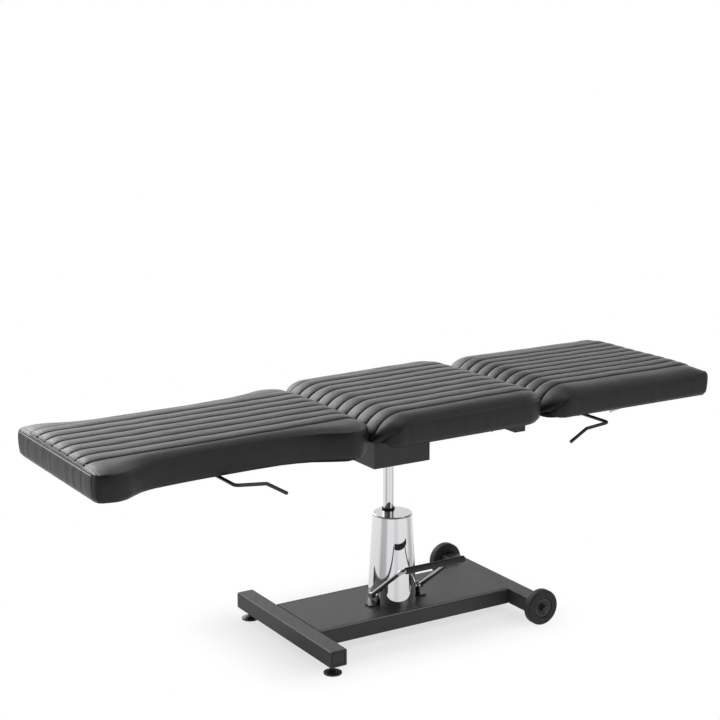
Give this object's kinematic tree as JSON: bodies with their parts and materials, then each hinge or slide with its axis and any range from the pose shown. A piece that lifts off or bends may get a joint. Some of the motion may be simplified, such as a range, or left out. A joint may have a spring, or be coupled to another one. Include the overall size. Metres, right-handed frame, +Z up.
{
  "type": "tattoo chair",
  "caption": "Tattoo chair laid flat as a bed, with channelled cushions, a folding legrest and back, release levers and a foot-pumped lift that swivels.",
  "frame": {"origin": "on the floor under the middle of the box round the whole chair", "axes": "+X along the bed to the head end, +Y across it away from the side with the release levers and the pedal, +Z up"},
  "size_m": [1.88, 0.5702, 0.669],
  "materials": {
    "black_powder_coat": "matt black powder coat with a fine texture",
    "black_satin_steel": "satin black",
    "chrome": "polished chrome plate",
    "zinc_steel": "bright zinc plate",
    "cast_pump": "as cast, painted dark",
    "black_plastic": "matt black nylon",
    "wheel_tread": "hard black rubber",
    "black_rubber": "black rubber, smooth",
    "black_leather": "black synthetic leather with a fine grain and a soft sheen",
    "plywood": "bare plywood"
  },
  "bodies": {
    "base": {"front_bar": "black_powder_coat", "rear_bar": "black_powder_coat", "front_bar_end_caps": "black_plastic", "rear_bar_plugs": "black_powder_coat", "wheel_axles": "black_satin_steel", "foot_nuts": "zinc_steel", "deck_plate": "black_powder_coat", "deck_side_channels": "black_powder_coat", "pump_body": "cast_pump", "pump_bolts": "zinc_steel", "pump_gland": "zinc_steel", "pump_cover": "chrome", "rod_seal": "black_rubber", "pedal_brackets": "chrome"},
    "near_wheel": {"near_wheel_tyre": "wheel_tread", "near_wheel_hub": "black_plastic"},
    "far_wheel": {"far_wheel_tyre": "wheel_tread", "far_wheel_hub": "black_plastic"},
    "near_foot": {"near_foot_pad": "black_plastic", "near_foot_stem": "zinc_steel"},
    "far_foot": {"far_foot_pad": "black_plastic", "far_foot_stem": "zinc_steel"},
    "pedal": {"pedal_shaft": "zinc_steel", "pedal_frame": "chrome", "pedal_sleeve": "black_rubber"},
    "plunger": {"pump_plunger": "zinc_steel"},
    "lift": {"piston": "zinc_steel", "piston_seal": "black_rubber"},
    "seat": {"lift_rod": "chrome", "rod_socket": "black_powder_coat", "seat_box": "black_powder_coat", "seat_rails": "black_powder_coat", "seat_rear_tube": "black_powder_coat", "seat_rear_tube_caps": "black_plastic", "seat_outriggers": "black_powder_coat", "legrest_hinge_pins": "zinc_steel", "back_hinge_plates": "black_powder_coat", "back_hinge_pins": "zinc_steel", "back_spring_pin": "zinc_steel", "legrest_spring_stud": "black_powder_coat", "seat_board": "plywood", "seat_cushion": "black_leather"},
    "legrest": {"legrest_frame": "black_powder_coat", "legrest_hinge_arms": "zinc_steel", "legrest_spring_end_pin": "zinc_steel", "legrest_board": "plywood", "legrest_cushion": "black_leather"},
    "legrest_release": {"legrest_lever": "black_powder_coat"},
    "legrest_spring_outer": {"legrest_spring_cylinder": "black_satin_steel"},
    "legrest_spring_inner": {"legrest_spring_rod": "chrome"},
    "back": {"back_frame": "black_powder_coat", "back_board": "plywood", "back_cushion": "black_leather", "back_lever_near_bracket": "zinc_steel", "back_lever_far_bracket": "black_powder_coat"},
    "back_release": {"back_lever": "black_powder_coat"},
    "back_spring_outer": {"back_spring_cylinder": "black_satin_steel"},
    "back_spring_inner": {"back_spring_rod": "chrome", "back_spring_end_pin": "zinc_steel"}
  },
  "joints": [
    {"name": "near_wheel_spin", "type": "hinge", "parent": "base", "child": "near_wheel", "pos_m": [0.362, -0.259, 0.05], "axis": [0, 1, 0], "continuous": true},
    {"name": "far_wheel_spin", "type": "hinge", "parent": "base", "child": "far_wheel", "pos_m": [0.362, 0.207, 0.05], "axis": [0, 1, 0], "continuous": true},
    {"name": "near_foot_turn", "type": "hinge", "parent": "base", "child": "near_foot", "pos_m": [-0.305, -0.251, 0.03], "axis": [0, 0, 1], "continuous": true},
    {"name": "far_foot_turn", "type": "hinge", "parent": "base", "child": "far_foot", "pos_m": [-0.305, 0.199, 0.03], "axis": [0, 0, 1], "continuous": true},
    {"name": "pedal_hinge", "type": "hinge", "parent": "base", "child": "pedal", "pos_m": [0.017, -0.053, 0.1015], "axis": [1, 0, 0], "range_deg": [0, 28], "stiffness_Nm_per_rad": 8, "springref_deg": -28.65},
    {"name": "plunger_slide", "type": "slide", "parent": "base", "child": "plunger", "axis": [0, 0, 1], "range_m": [0, 0.0145]},
    {"name": "lift_slide", "type": "slide", "parent": "base", "child": "lift", "axis": [0, 0, 1], "range_m": [-0.11, 0.05]},
    {"name": "seat_swivel", "type": "hinge", "parent": "lift", "child": "seat", "pos_m": [0.025, 0, 0.3], "axis": [0, 0, 1], "continuous": true},
    {"name": "legrest_hinge", "type": "hinge", "parent": "seat", "child": "legrest", "pos_m": [-0.083, 0, 0.575], "axis": [0, -1, 0], "range_deg": [0, 30]},
    {"name": "legrest_release_hinge", "type": "hinge", "parent": "legrest", "child": "legrest_release", "pos_m": [-0.575, 0, 0.545], "axis": [0, -1, 0], "range_deg": [0, 12], "stiffness_Nm_per_rad": 2, "springref_deg": -14.32},
    {"name": "legrest_spring_swing", "type": "hinge", "parent": "seat", "child": "legrest_spring_outer", "pos_m": [-0.039, 0.13, 0.4768], "axis": [0, -1, 0], "range_deg": [0, 18]},
    {"name": "legrest_spring_stroke", "type": "slide", "parent": "legrest_spring_outer", "child": "legrest_spring_inner", "axis": [-0.9424, 0, 0.3344], "range_m": [-0.0455, 0]},
    {"name": "back_hinge", "type": "hinge", "parent": "seat", "child": "back", "pos_m": [0.4645, 0, 0.575], "axis": [0, -1, 0], "range_deg": [0, 70]},
    {"name": "back_release_hinge", "type": "hinge", "parent": "back", "child": "back_release", "pos_m": [0.603, 0, 0.54], "axis": [0, 1, 0], "range_deg": [0, 12], "stiffness_Nm_per_rad": 2, "springref_deg": -14.32},
    {"name": "back_spring_swing", "type": "hinge", "parent": "seat", "child": "back_spring_outer", "pos_m": [0.4645, 0.12, 0.525], "axis": [0, -1, 0], "range_deg": [0, 59.5]},
    {"name": "back_spring_stroke", "type": "slide", "parent": "back_spring_outer", "child": "back_spring_inner", "axis": [0.9948, 0, 0.1016], "range_m": [0, 0.049]}
  ],
  "couplings": [
    {"joint": "plunger_slide", "follows": "pedal_hinge", "m_per_rad": 0.0288},
    {"joint": "legrest_spring_swing", "follows": "legrest_hinge", "ratio": 0.5908},
    {"joint": "legrest_spring_stroke", "follows": "legrest_hinge", "m_per_rad": -0.0857},
    {"joint": "back_spring_swing", "follows": "back_hinge", "ratio": 0.8428},
    {"joint": "back_spring_stroke", "follows": "back_hinge", "m_per_rad": 0.03948}
  ]
}
